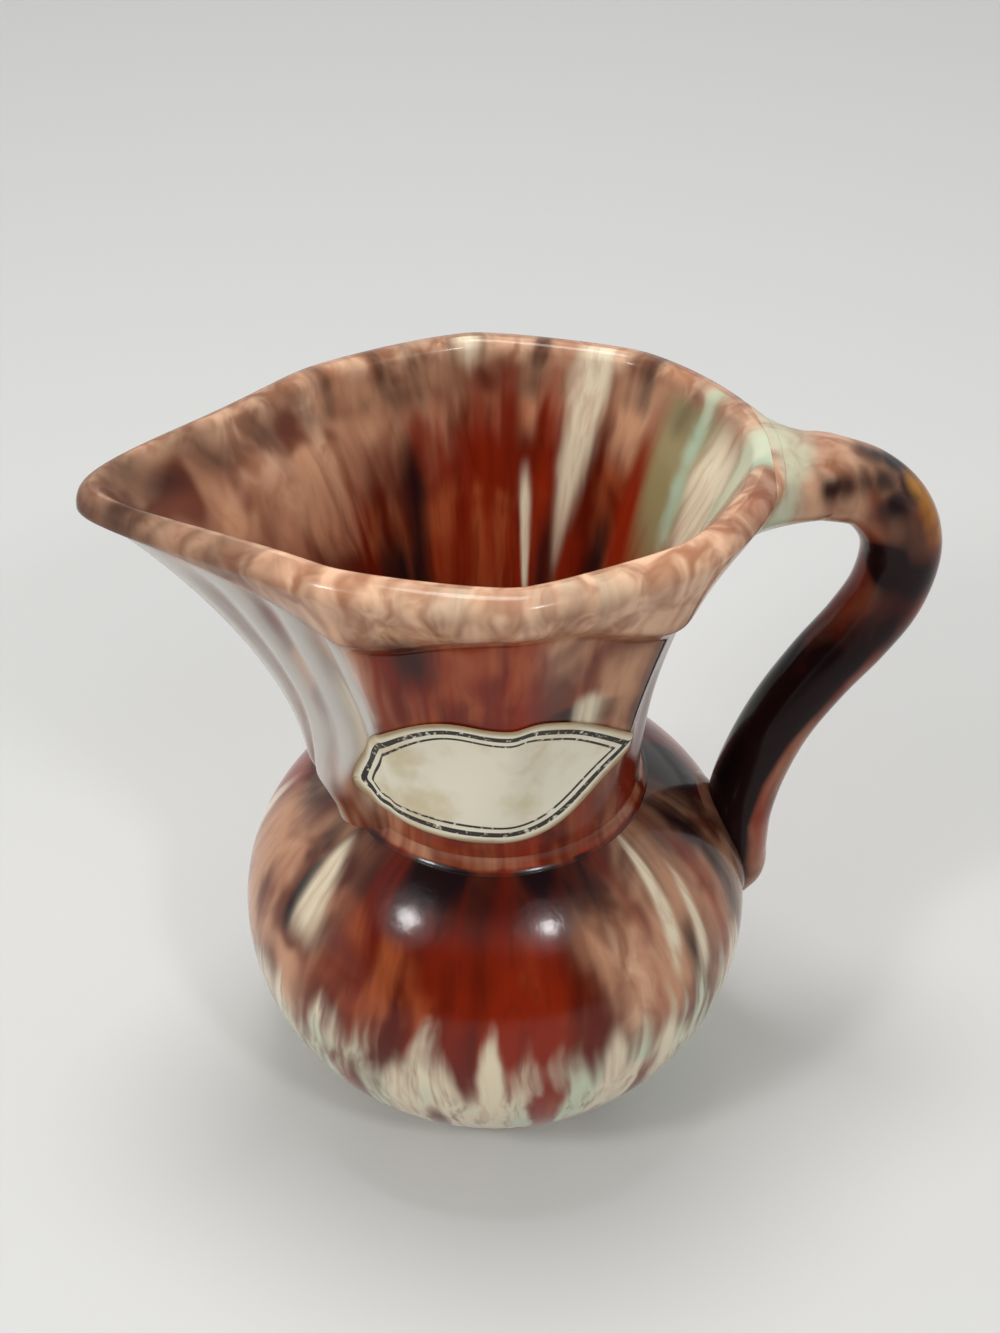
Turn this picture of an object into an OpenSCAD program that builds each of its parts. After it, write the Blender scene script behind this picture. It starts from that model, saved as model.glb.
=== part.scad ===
// Small fluted pouring jug in glazed earthenware: a round bowl on a ring foot, a
// fluted neck that opens into a long spout, an ear-shaped handle and a paper label.
// It stands on z = 0 with its axis on Z, the spout towards -X and the handle towards +X.

/* [Bowl] */
// Largest radius of the bowl
bowl_r = 30.5; // [27:0.5:34]
// Height of the widest point above the table
belly_z = 24; // [21:0.5:28]
// Height of the half ellipse that the shoulder follows
crown_h = 24.2; // [21:0.2:28]
// Thickness of the fired clay wall
wall = 2.8; // [2.2:0.1:3.6]
// Thickness of the floor inside the foot ring
floor_t = 3.2; // [2.4:0.1:5]
// Outer radius of the foot ring
foot_r = 14; // [11:0.5:18]
// Width of the foot ring
foot_w = 3; // [2:0.5:5]
// Depth of the recess inside the foot ring
foot_recess = 1.2; // [0.6:0.1:2]

/* [Neck and spout] */
// Height of the rim above the table
jug_h = 88; // [80:1:98]
// Radius of the neck where it stands on the bowl
waist_r = 16.8; // [15:0.2:19]
// Radius of the mouth across the jug, without the lip
mouth_r = 24.9; // [22.5:0.1:28]
// How much further the mouth reaches on the handle's side
handle_side_out = 4.5; // [3:0.1:6]
// How much further the spout reaches than the mouth
spout_out = 17.6; // [13:0.2:22]
// How far the tip of the spout dips below the rim
spout_dip = 1.5; // [0:0.1:3]
// Number of flutes around the neck
flutes = 8; // [6:2:12]
// Depth of the flutes
flute_d = 2.2; // [0.6:0.1:2.6]

/* [Lip] */
// How far the rolled lip stands out from the neck
lip_out = 1.3; // [0.8:0.1:2]
// Height of the lip in the middle of the jug's sides
lip_h = 6; // [4:0.1:7]
// Extra height of the lip at the four corners of the mouth
lip_arch = 6.4; // [0:0.1:7]
// Height of the lip at the tip of the spout
lip_spout_h = 2.6; // [2:0.1:4]
// Height over which the lip rolls back into the neck
lip_roll = 2.4; // [1.6:0.1:3.5]

/* [Handle] */
// Thickness of the handle, in the plane of the jug
handle_t = 8.4; // [7:0.1:10]
// Width of the handle
handle_w = 9.6; // [8:0.1:12]
// How far the middle of the handle bows out past the bowl
handle_out = 14.6; // [12:0.2:18]
// How far the middle of the handle's root lies below the rim
root_drop = 5.6; // [5.2:0.1:8]
// Height of the lower end of the handle's tail
tail_z = 21.6; // [18:0.2:26]

/* [Slip joints] */
// Thickness of the slip that joins the handle to the body
slip_t = 0.5; // [0.3:0.1:0.8]
// How far the slip shows around the handle's ends
slip_edge = 0.9; // [0.4:0.1:1.5]
// Size of the slip fillet around the foot of the neck
seam = 1.6; // [1:0.1:2.5]

/* [Paper label] */
// Height of the label in its middle
label_h = 17.6; // [12:0.2:20]
// Height of the label's bottom edge above the foot of the neck
label_bottom = 3.8; // [3:0.2:6]
// Thickness of the paper
paper_t = 0.15; // [0.1:0.05:0.3]
// Thickness of the gum under the paper
gum_t = 0.03; // [0.02:0.01:0.05]

/* [Hidden] */
$fn = 96;

// Bowl: half ellipses above and below the widest point
low_h = belly_z / sqrt(1 - pow(foot_r / bowl_r, 2));
joint_z = belly_z + crown_h * sqrt(1 - pow(waist_r / bowl_r, 2));
floor_z = foot_recess + floor_t;
curve_steps = 14;

// Neck: height of the fluted wall, and the round crest on top of it
lip_t = wall + lip_out;
crest_z = jug_h - lip_t / 2;
neck_h = crest_z - joint_z;
columns = 96;
crest_steps = 5;
side_flare = 1.65;
spout_flare = 1.15;
handle_side_power = 3;
collar_share = 0.04;
slope_step_share = 0.01;
spout_tip_deg = 5;
spout_spread_deg = 20;
ridge_softness = 0.03;
flute_foot_share = 0.06;
flute_grow_share = 0.36;
flute_top_share = 0.78;
flute_fade_share = 0.68;
level_shares = [
    0, 0.04, 0.1, 0.17, 0.25, 0.33, 0.41, 0.49, 0.57, 0.64,
    0.7, 0.75, 0.79, 0.83, 0.87, 0.9, 0.93, 0.96, 1];
inner_level_shares = [1, 0.94, 0.88, 0.82, 0.75, 0.67, 0.58, 0.49, 0.4, 0.31, 0.22, 0.13, 0.06, 0];
upright_share = 0.8;

// Handle: its middle line, as shares of the bow and of the height from tail to root,
// with the shares of thickness and width at each point
root_z = jug_h - root_drop;
handle_sides = 24;
root_ring_shares = [0.25, 0.5, 0.75, 1];
handle_steps = 3;
handle_shares = [
    // out, up, thickness, width
    [0.08, 1.000, 1.10, 1.55], [0.31, 1.003, 1.03, 1.12], [0.66, 0.973, 1.02, 1.00],
    [0.90, 0.913, 1.05, 0.98], [1.00, 0.836, 1.06, 0.98], [0.94, 0.740, 1.02, 0.98],
    [0.755, 0.654, 0.98, 0.97], [0.49, 0.563, 0.95, 0.96], [0.235, 0.457, 0.92, 0.96],
    [0.055, 0.343, 0.92, 1.00], [-0.04, 0.236, 0.92, 1.06], [-0.02, 0.137, 0.80, 1.00],
    [0.01, 0.064, 0.72, 0.80], [0.0, 0.000, 0.34, 0.40]];

// Slip pads and label: how finely their patches follow the wall
pad_rows = 14;
pad_columns = 12;
pad_rim_share = 0.3;
pad_top_share = 0.68;
label_mid_deg = 257;
label_half_deg = 59.5;
label_left_fall_share = 0.62;
label_right_fall_share = 0.36;
label_left_tip_share = 0.32;
label_right_tip_share = 0.12;
label_left_round = 3;
label_right_round = 2.3;
label_columns = 44;
label_rows = 6;

// Shared helpers
function ease(x) = let (c = min(max(x, 0), 1)) c * c * (3 - 2 * c);
function polar(r, a, z) = [r * cos(a), r * sin(a), z];
function turn(a) = a - 360 * floor(a / 360);
function ellipse_point(r, h, u) = [r * cos(u), belly_z + h * sin(u)];

// Radius of the bowl's outside at a height
function bowl_r_at(z) =
    bowl_r * sqrt(max(0, 1 - pow((z - belly_z) / (z < belly_z ? low_h : crown_h), 2)));

// The neck: s runs from 0 at its foot to 1 under the crest, and a is the angle
function rise(s) = max(s - collar_share, 0) / (1 - collar_share);
function spout_at(a) = let (off = abs(turn(a) - 180))
    exp(-(sqrt(off * off + spout_tip_deg * spout_tip_deg) - spout_tip_deg) / spout_spread_deg);
function groove_at(a) = sqrt(pow(sin(a * flutes / 2), 2) + ridge_softness) - sqrt(ridge_softness);
function flute_at(s) = flute_d * ease((s - flute_foot_share) / flute_grow_share)
    * (1 - flute_fade_share * ease((s - flute_top_share) / (1 - flute_top_share)));
function drawn_out(a) = spout_out * spout_at(a) + handle_side_out * pow(max(cos(a), 0), handle_side_power);
function core_r(a, s) = waist_r
    + (mouth_r - waist_r) * pow(rise(s), side_flare)
    + drawn_out(a) * pow(rise(s), spout_flare)
    - flute_at(s) * groove_at(a);
function neck_z(a, s) = joint_z + s * neck_h - spout_dip * spout_at(a) * pow(s, 3);
function lip_h_at(a) = lip_h
    + (lip_spout_h - lip_h) * spout_at(a)
    + lip_arch * pow(sin(2 * a) * (1 - spout_at(a)), 2);
function below_rim(s) = lip_t / 2 + (1 - s) * neck_h;
function neck_r(a, s) = core_r(a, s)
    + lip_out * ease((lip_h_at(a) + lip_roll / 2 - below_rim(s)) / lip_roll);

// Lean of the wall, taken back to upright at the foot and under the crest
function lean(a, s) = let (low = max(s - slope_step_share, 0), high = min(s + slope_step_share, 1))
    atan((core_r(a, high) - core_r(a, low)) / ((high - low) * neck_h))
    * ease(s / (2 * collar_share)) * (1 - ease((s - upright_share) / (1 - upright_share)));
function outer_point(a, s) = polar(neck_r(a, s), a, neck_z(a, s));
function inner_point(a, s) =
    polar(core_r(a, s) - wall * cos(lean(a, s)), a, neck_z(a, s) + wall * sin(lean(a, s)));
function crest_point(a, u) =
    polar(neck_r(a, 1) - lip_t / 2 * (1 - cos(u)), a, neck_z(a, 1) + lip_t / 2 * sin(u));

// Faces of a sheet of rings, of a closed end and of a patch with a front and a back
function quad(a, b, c, d) = [[a, b, c], [a, c, d]];
function tube_faces(rings, sides, closed) = [
    for (k = [0:rings - (closed ? 1 : 2)], i = [0:sides - 1])
        let (j = (i + 1) % sides, up = (k + 1) % rings)
            each quad(k * sides + i, up * sides + i, up * sides + j, k * sides + j)];
function cap_faces(first, sides, middle, flip) = [
    for (i = [0:sides - 1])
        let (p = first + i, q = first + (i + 1) % sides)
            flip ? [middle, q, p] : [middle, p, q]];

module ring_solid(rings) {
    sides = len(rings[0]);
    polyhedron(points = [for (ring = rings) each ring], faces = tube_faces(len(rings), sides, true));
}

// A sheet between a front and a back grid, closed around its edge
module sheet_solid(front, back) {
    rows = len(front);
    cols = len(front[0]);
    n = rows * cols;
    edge = concat(
        [for (i = [0:cols - 2]) i],
        [for (k = [0:rows - 2]) k * cols + cols - 1],
        [for (i = [cols - 1:-1:1]) (rows - 1) * cols + i],
        [for (k = [rows - 1:-1:1]) k * cols]);
    corners = [for (k = [0:rows - 2], i = [0:cols - 2]) k * cols + i];
    faces = concat(
        [for (p = corners) each quad(p, p + cols, p + cols + 1, p + 1)],
        [for (p = corners) each quad(n + p, n + p + 1, n + p + cols + 1, n + p + cols)],
        [for (m = [0:len(edge) - 1])
            let (p = edge[m], q = edge[(m + 1) % len(edge)])
                each quad(p, q, n + q, n + p)]);
    polyhedron(points = concat([for (row = front) each row], [for (row = back) each row]), faces = faces);
}

// Bowl: thrown round, hollow, on a ring foot, open where the neck stands
module bowl() {
    outer_low = asin(belly_z / low_h);
    outer_high = acos(waist_r / bowl_r);
    inner_r = bowl_r - wall;
    inner_high = acos((waist_r - wall) / inner_r);
    outside = concat(
        [for (k = [0:curve_steps]) ellipse_point(bowl_r, low_h, -outer_low * (1 - k / curve_steps))],
        [for (k = [1:curve_steps]) ellipse_point(bowl_r, crown_h, outer_high * k / curve_steps)]);
    inside = concat(
        [[waist_r - wall, joint_z]],
        [for (k = [curve_steps:-1:1]) ellipse_point(inner_r, crown_h - wall, inner_high * k / curve_steps)],
        [for (k = [0:curve_steps]) ellipse_point(inner_r, belly_z - floor_z, -90 * k / curve_steps)]);
    foot = [[0, foot_recess], [foot_r - foot_w - foot_recess, foot_recess], [foot_r - foot_w, 0]];
    color("saddlebrown") rotate_extrude() polygon(concat(outside, inside, foot));
}

// Neck: fluted and flared, drawn out into the spout, with a rolled lip and an even wall
module neck() {
    angles = [for (i = [0:columns - 1]) 360 * i / columns];
    rings = concat(
        [for (s = level_shares) [for (a = angles) outer_point(a, s)]],
        [for (k = [1:crest_steps]) [for (a = angles) crest_point(a, 180 * k / (crest_steps + 1))]],
        [for (s = inner_level_shares) [for (a = angles) inner_point(a, s)]]);
    color("sienna") ring_solid(rings);
}

// Fillet of slip that fills the corner between the neck's foot and the shoulder
module neck_slip_seam() {
    along = [for (k = [0:curve_steps]) k / curve_steps];
    function shoulder_z(r) = belly_z + crown_h * sqrt(1 - pow(r / bowl_r, 2));
    hollow = [for (t = along) let (r = waist_r + seam * (1 - t))
        [r, shoulder_z(r) + seam * (1 - sqrt(1 - pow(t, 2)))]];
    base = [for (t = along) let (r = waist_r + seam * t) [r, shoulder_z(r)]];
    color("rosybrown") rotate_extrude() polygon(concat(base, [for (k = [1:curve_steps]) hollow[k]]));
}

// The handle's middle line: a smooth curve through its points
function handle_stop(k) = let (p = handle_shares[k]) [
    bowl_r + handle_out * p[0],
    tail_z + (root_z - tail_z) * p[1],
    handle_t / 2 * p[2],
    handle_w / 2 * p[3]];
handle_last = len(handle_shares) - 1;
function through(p, q, r, s, t) =
    q + t / 2 * (r - p + t * (2 * p - 5 * q + 4 * r - s + t * (3 * (q - r) + s - p)));
function handle_at(k, t) = let (
    before = handle_stop(max(k - 1, 0)),
    after = handle_stop(min(k + 2, handle_last)))
    through(before, handle_stop(k), handle_stop(k + 1), after, t);
handle_line = concat(
    [for (k = [0:handle_last - 1], j = [0:handle_steps - 1]) handle_at(k, j / handle_steps)],
    [handle_stop(handle_last)]);

// A point moved out to the neck along X, and one kept outside the bowl
function neck_share(z) = min(max((z - joint_z) / neck_h, 0), 1);
function on_neck(y, z, off) = let (r = neck_r(asin(y / (mouth_r + handle_side_out)), neck_share(z)) + off)
    [sqrt(r * r - y * y), y, z];
function off_bowl(p) = let (r = norm([p[0], p[1]]), least = bowl_r_at(p[2]) + slip_t)
    p[2] < joint_z && r < least ? [p[0] * least / r, p[1] * least / r, p[2]] : p;

// A ring of the handle's root, laid on the neck, and a ring of the free handle
function root_ring(share, grow, off) = let (
    half_w = (handle_stop(0)[3] + grow) * share,
    half_t = (handle_stop(0)[2] + grow) * share)
    [for (i = [0:handle_sides - 1]) let (u = 360 * i / handle_sides)
        on_neck(-half_w * sin(u), root_z + half_t * cos(u), off)];
function handle_ring(k) = let (
    here = handle_line[k],
    before = handle_line[k - 1],
    after = handle_line[min(k + 1, len(handle_line) - 1)],
    way = [after[0] - before[0], after[1] - before[1]] / norm([after[0] - before[0], after[1] - before[1]]))
    [for (i = [0:handle_sides - 1]) let (u = 360 * i / handle_sides, across = here[2] * cos(u))
        off_bowl([here[0] - way[1] * across, -here[3] * sin(u), here[1] + way[0] * across])];

// A solid of rings that closes on a point at each end
module spindle(rings, first, last) {
    sides = len(rings[0]);
    count = len(rings) * sides;
    polyhedron(
        points = concat([for (ring = rings) each ring], [first, last]),
        faces = concat(
            tube_faces(len(rings), sides, false),
            cap_faces(0, sides, count, false),
            cap_faces(count - sides, sides, count + 1, true)));
}

// Handle: a pulled strap, flared into the rim and pressed down the bowl as a tail
module handle() {
    tail = handle_stop(handle_last);
    color("brown") spindle(
        concat(
            [for (share = root_ring_shares) root_ring(share, 0, slip_t)],
            [for (k = [1:len(handle_line) - 1]) handle_ring(k)]),
        on_neck(0, root_z, slip_t),
        off_bowl([tail[0], 0, tail[1]]));
}

// Slip between the handle's root and the lip, with a thin edge around it
module upper_handle_slip() {
    edge = [root_ring(1, slip_edge, slip_t * pad_rim_share), root_ring(1, slip_edge, 0)];
    inner = len(root_ring_shares) - 1;
    color("rosybrown") spindle(
        concat(
            [for (share = root_ring_shares) root_ring(share, 0, slip_t)],
            edge,
            [for (k = [inner:-1:0]) root_ring(root_ring_shares[k], 0, 0)]),
        on_neck(0, root_z, slip_t),
        on_neck(0, root_z, 0));
}

// Slip between the handle's tail and the bowl
module lower_handle_slip() {
    pad_h = belly_z + (joint_z - belly_z) * pad_top_share - tail_z;
    function half_deg(v) = let (z = tail_z + pad_h * v, swell = sqrt(max(0, 1 - pow(2 * v - 1, 4))))
        asin((slip_edge + handle_w / 2 * swell) / bowl_r_at(z));
    function sheet(off) = [for (k = [0:pad_rows]) [for (i = [0:pad_columns])
        let (
            v = k / pad_rows,
            z = tail_z - slip_edge + (pad_h + slip_edge) * v,
            w = 2 * i / pad_columns - 1)
            polar(bowl_r_at(z) + off * (1 - (1 - pad_rim_share) * pow(abs(w), 4)), half_deg(v) * w, z)]];
    color("rosybrown") sheet_solid(sheet(slip_t), sheet(0));
}

// Label: a lens of gummed paper that follows the front of the neck
module paper_label() {
    function edge_z(w, v) = let (
        bend = pow(abs(w), w < 0 ? label_left_round : label_right_round),
        top = 1 - bend * (w < 0 ? label_left_fall_share : label_right_fall_share),
        height = 1 - bend * (1 - (w < 0 ? label_left_tip_share : label_right_tip_share)))
        joint_z + label_bottom + label_h * (top - height * (1 - v));
    function sheet(off) = [for (k = [0:label_rows]) [for (i = [0:label_columns])
        let (
            w = 2 * i / label_columns - 1,
            a = label_mid_deg + label_half_deg * w,
            s = (edge_z(w, k / label_rows) - joint_z) / neck_h,
            p = outer_point(a, s))
            polar(neck_r(a, s) + off, a, p[2])]];
    color("ivory") sheet_solid(sheet(gum_t + paper_t), sheet(gum_t));
}

bowl();
neck();
neck_slip_seam();
handle();
upper_handle_slip();
lower_handle_slip();
paper_label();
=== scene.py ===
import math

import bpy
import numpy as np
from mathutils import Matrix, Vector


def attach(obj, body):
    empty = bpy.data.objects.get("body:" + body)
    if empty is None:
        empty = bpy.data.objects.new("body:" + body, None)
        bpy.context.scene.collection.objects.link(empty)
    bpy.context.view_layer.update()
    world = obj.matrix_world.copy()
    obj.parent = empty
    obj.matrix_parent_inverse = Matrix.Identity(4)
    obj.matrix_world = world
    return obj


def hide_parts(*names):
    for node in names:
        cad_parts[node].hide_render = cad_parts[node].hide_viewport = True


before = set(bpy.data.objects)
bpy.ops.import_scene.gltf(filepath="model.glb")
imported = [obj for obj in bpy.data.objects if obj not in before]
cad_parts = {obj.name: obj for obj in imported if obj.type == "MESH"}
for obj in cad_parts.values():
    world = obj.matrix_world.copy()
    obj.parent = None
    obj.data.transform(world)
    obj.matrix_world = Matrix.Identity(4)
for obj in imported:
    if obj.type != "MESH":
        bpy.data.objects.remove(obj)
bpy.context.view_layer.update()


# Bowl: slip-cast round bowl of glazed earthenware on a raw ring foot, open at the top where the neck sits.
# One profile, down the outside, under the foot and up the inside, is turned round the axis of the jug.
# Lengths are in mm, scaled to metres where the vertices are placed, and angles in degrees from the handle.
bowl_r, belly_z, crown_h, waist_r, wall, floor_t = 30.5, 24.0, 24.2, 16.8, 2.8, 3.2
foot_r, foot_w, foot_round, foot_inset, foot_top = 14.0, 3.0, 0.7, 0.5, 0.9
foot_recess, recess_round, recess_inset, under_r = 1.2, 0.6, 0.1, 6.0
bowl_columns, outside_rows, cavity_rows = 288, 110, 70
low_h = belly_z / math.sqrt(1 - (foot_r / bowl_r) ** 2)
joint_z = belly_z + crown_h * math.sqrt(1 - (waist_r / bowl_r) ** 2)


def ease(x):
    x = np.clip(x, 0, 1)
    return x * x * (3 - 2 * x)


def bowl_r_at(z):
    share = (z - belly_z) / np.where(z < belly_z, low_h, crown_h)
    return bowl_r * np.sqrt(np.clip(1 - share**2, 0, 1))


def corners(piece):
    """The x, y and z of each vertex."""
    places = np.empty(len(piece.data.vertices) * 3)
    piece.data.vertices.foreach_get("co", places)
    return places.reshape(-1, 3).T * 1000


def around(piece):
    """The angle, radius and height of each vertex."""
    x, y, z = corners(piece)
    return np.degrees(np.arctan2(y, x)) % 360, np.hypot(x, y), z


def loft(name, columns, rows, shape):
    """Bend a grid to shape(u, v), u and v from 0 to 1, and merge it where its edges meet."""
    bpy.ops.object.select_all(action="DESELECT")
    bpy.ops.mesh.primitive_grid_add(x_subdivisions=columns, y_subdivisions=rows, size=1)
    piece = bpy.context.object
    piece.name = name
    u, v, _ = corners(piece) / 1000 + 0.5
    piece.data.vertices.foreach_set("co", np.stack(shape(u, v), axis=1).ravel() / 1000)
    bpy.ops.object.mode_set(mode="EDIT")
    bpy.ops.mesh.select_all(action="SELECT")
    bpy.ops.mesh.remove_doubles(threshold=2e-6)
    bpy.ops.mesh.normals_make_consistent(inside=False)
    bpy.ops.object.mode_set(mode="OBJECT")
    bpy.ops.object.shade_smooth()
    return piece


def runs(angle, z, marks, taper=0.0):
    """Strength of listed runs of glaze: (angle, half width, bottom, top, lean in degrees per mm)."""
    peak, low_fade, high_fade = 1.15, 0.5, 0.3
    strength = np.zeros_like(z)
    for at, half, low, high, lean in marks:
        off = (angle - at - lean * (high - z) + 180) % 360 - 180
        up = np.clip((z - low) / (high - low), 0, 1)
        wide = half * (1 + taper * (2 * up - 1))
        ends = ease(up / low_fade) * ease((1 - up) / high_fade)
        strength = np.maximum(strength, peak * np.exp(-((off / wide) ** 2)) * ends)
    return strength


def paint(piece, **layers):
    """Store how thick each layer of glaze lies, for the glaze material to read."""
    for name, values in layers.items():
        piece.data.attributes.new(name, "FLOAT", "POINT").data.foreach_set("value", values)


def add(tree, kind, sockets, out=0, **settings):
    """Add a node, set or link its sockets, and give one of its outputs."""
    made = tree.nodes.new("ShaderNode" + kind)
    for key, value in settings.items():
        setattr(made, key, value)
    for key, value in sockets.items():
        if isinstance(value, bpy.types.NodeSocket):
            tree.links.new(value, made.inputs[key])
        else:
            made.inputs[key].default_value = value
    return made.outputs[out]


def blend(tree, share, a, b):
    return add(tree, "Mix", {0: share, 6: a, 7: b}, 2, data_type="RGBA")


def band(tree, value, low, high):
    return add(tree, "MapRange", {0: value, 1: low, 2: high}, interpolation_type="SMOOTHSTEP")


def math_of(tree, operation, *values, **settings):
    return add(tree, "Math", dict(enumerate(values)), operation=operation, **settings)


def glaze(name, shine=0.32, turn_by=27, run_by=(90, 90, 140)):
    """Glossy drip glaze: a red-brown ground under layers that the piece's attributes place.

    shine is the strength of its mirror reflection. turn_by and run_by say how quickly the runs change
    round the axis of the jug and along x, y and z.
    """
    deep_red, bright_red = (0.095, 0.0075, 0.0022, 1), (0.25, 0.019, 0.0045, 1)
    orange, amber = (0.44, 0.105, 0.034, 1), (0.36, 0.145, 0.012, 1)
    soot, black = (0.045, 0.008, 0.005, 1), (0.014, 0.005, 0.006, 1)
    plum, rose, plum_line = (0.15, 0.042, 0.022, 1), (0.55, 0.285, 0.165, 1), (0.15, 0.05, 0.032, 1)
    brown, peach, brown_line = (0.40, 0.182, 0.100, 1), (0.75, 0.465, 0.30, 1), (0.17, 0.062, 0.036, 1)
    ivory, sage = (0.76, 0.66, 0.48, 1), (0.58, 0.63, 0.47, 1)
    umber, fawn = (0.28, 0.135, 0.095, 1), (0.52, 0.33, 0.22, 1)
    # Among these, the pale grey between olive and raw clay is for a painted reflection.
    olive, reflection_grey, raw_clay = (0.27, 0.215, 0.10, 1), (0.58, 0.545, 0.50, 1), (0.60, 0.42, 0.28, 1)
    green, pale_green = (0.38, 0.48, 0.34, 1), (0.52, 0.55, 0.40, 1)
    glossy, matt = 0.14, 0.75
    material = bpy.data.materials.new(name)
    material.use_nodes = True
    tree = material.node_tree
    shader = tree.nodes["Principled BSDF"]

    def scaled(vector, by, plus=(0, 0, 0)):
        return add(tree, "VectorMath", {0: vector, 1: by, 2: plus}, operation="MULTIPLY_ADD")

    def noise(vector, scale, distortion=0.0):
        sockets = {"Vector": vector, "Scale": scale, "Detail": 2, "Distortion": distortion}
        return add(tree, "TexNoise", sockets)

    def lined(base, value, low, high, share, line):
        """A colour with lines of another one in it, where the noise is high."""
        return blend(tree, math_of(tree, "MULTIPLY", band(tree, value, low, high), share), base, line)

    def layer(attribute, source, ragged, soft):
        """Cover of a layer: its painted thickness, with an edge that the noise makes ragged."""
        thick = add(tree, "Attribute", {}, 2, attribute_name=attribute)
        gate = math_of(tree, "MULTIPLY", thick, 3.0, use_clamp=True)
        edge = math_of(tree, "MULTIPLY_ADD", source, ragged, -0.5 * ragged)
        value = math_of(tree, "MULTIPLY_ADD", edge, gate, thick)
        return band(tree, value, 0.5 - soft, 0.5 + soft)

    place = add(tree, "TexCoord", {}, "Object")
    point = scaled(place, (1000, 1000, 1000))
    swirl = add(tree, "TexNoise", {"Vector": point, "Scale": 0.06, "Detail": 2}, "Color")
    heading = add(tree, "VectorMath", {0: scaled(place, (1, 1, 0))}, operation="NORMALIZE")
    fall = scaled(heading, (turn_by, turn_by, turn_by), scaled(place, run_by))
    fall = scaled(swirl, (5, 5, 5), fall)
    broad, finger, thread = noise(fall, 0.12), noise(fall, 0.26), noise(fall, 0.9)
    cloud = noise(point, 0.08, 0.4)
    mottle = noise(scaled(point, (0.30, 0.30, 0.14)), 1.0, 0.8)
    smoke = noise(scaled(point, (0.13, 0.13, 0.075)), 1.0, 0.4)

    glow = math_of(tree, "MULTIPLY", band(tree, cloud, 0.42, 0.66), band(tree, finger, 0.36, 0.64))
    colour = blend(tree, band(tree, broad, 0.36, 0.64), deep_red, bright_red)
    colour = blend(tree, math_of(tree, "MULTIPLY", glow, 0.75), colour, orange)
    colour = lined(colour, thread, 0.50, 0.72, 0.25, soot)
    mauve = blend(tree, band(tree, smoke, 0.36, 0.60), plum, rose)
    mauve = lined(mauve, thread, 0.48, 0.72, 0.18, plum_line)
    tan = blend(tree, band(tree, mottle, 0.32, 0.68), brown, peach)
    tan = lined(tan, finger, 0.48, 0.72, 0.55, brown_line)
    pale = blend(tree, band(tree, cloud, 0.42, 0.62), ivory, sage)
    pale = lined(pale, thread, 0.46, 0.70, 0.7, umber)
    cream = lined(ivory, thread, 0.42, 0.70, 0.5, fawn)
    mint = blend(tree, band(tree, cloud, 0.42, 0.58), green, pale_green)
    for attribute, source, ragged, soft, over in (
        ("veil", finger, 1.2, 0.45, mauve),
        ("olive", finger, 0.8, 0.40, olive),
        ("lip", finger, 0.7, 0.40, tan),
        ("dark", finger, 0.8, 0.36, black),
        ("amber", mottle, 0.6, 0.35, amber),
        ("bare", finger, 2.0, 0.30, pale),
        ("cream", finger, 1.1, 0.44, cream),
        # Pale grey painted reflection on the spout's flanks.
        ("frost", finger, 0.8, 0.45, reflection_grey),
        ("mint", mottle, 0.8, 0.42, mint),
        ("clay", finger, 0.0, 0.10, raw_clay),
    ):
        colour = blend(tree, layer(attribute, source, ragged, soft), colour, over)

    grain = math_of(tree, "MULTIPLY_ADD", noise(point, 0.8), 0.3, mottle)
    peel = add(tree, "Bump", {"Strength": 0.10, "Distance": 0.0003, "Height": grain})
    raw = band(tree, add(tree, "Attribute", {}, 2, attribute_name="clay"), 0.3, 0.7)
    rough = add(tree, "MapRange", {0: raw, 3: glossy, 4: matt})
    tree.links.new(colour, shader.inputs["Base Color"])
    tree.links.new(peel, shader.inputs["Normal"])
    tree.links.new(rough, shader.inputs["Roughness"])
    shader.inputs["IOR"].default_value = 1.42
    shader.inputs["Specular IOR Level"].default_value = shine
    return material


def arc(centre, radius, start, end, count):
    turn = np.radians(np.linspace(start, end, count))
    return np.stack([centre[0] + radius * np.cos(turn), centre[1] + radius * np.sin(turn)], axis=1)


down = np.linspace(0, 1, outside_rows)
heights = joint_z * (1 - down) + foot_top * down
outside = np.stack([bowl_r_at(heights), heights], axis=1)
foot = arc((foot_r - foot_inset, foot_round), foot_round, 0, -90, 7)
recess = arc((foot_r - foot_w + recess_round, recess_round), recess_round, -90, -180, 6)
under = np.array([(r, foot_recess) for r in (foot_r - foot_w - recess_inset, under_r, 0)])
throat_turn = math.degrees(math.acos((waist_r - wall) / (bowl_r - wall)))
turn = np.radians(np.linspace(-90, throat_turn, cavity_rows))
cavity_h = np.where(turn < 0, belly_z - foot_recess - floor_t, crown_h - wall)
cavity = np.stack([(bowl_r - wall) * np.cos(turn), belly_z + cavity_h * np.sin(turn)], axis=1)
throat = np.array([(waist_r - wall, joint_z)])
profile = np.concatenate([outside, foot, recess, under, cavity, throat, outside[:1]])


def bowl_shape(u, v):
    step = v * (len(profile) - 1)
    r = np.interp(step, np.arange(len(profile)), profile[:, 0])
    z = np.interp(step, np.arange(len(profile)), profile[:, 1])
    return r * np.cos(2 * np.pi * u), r * np.sin(2 * np.pi * u), z


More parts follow.
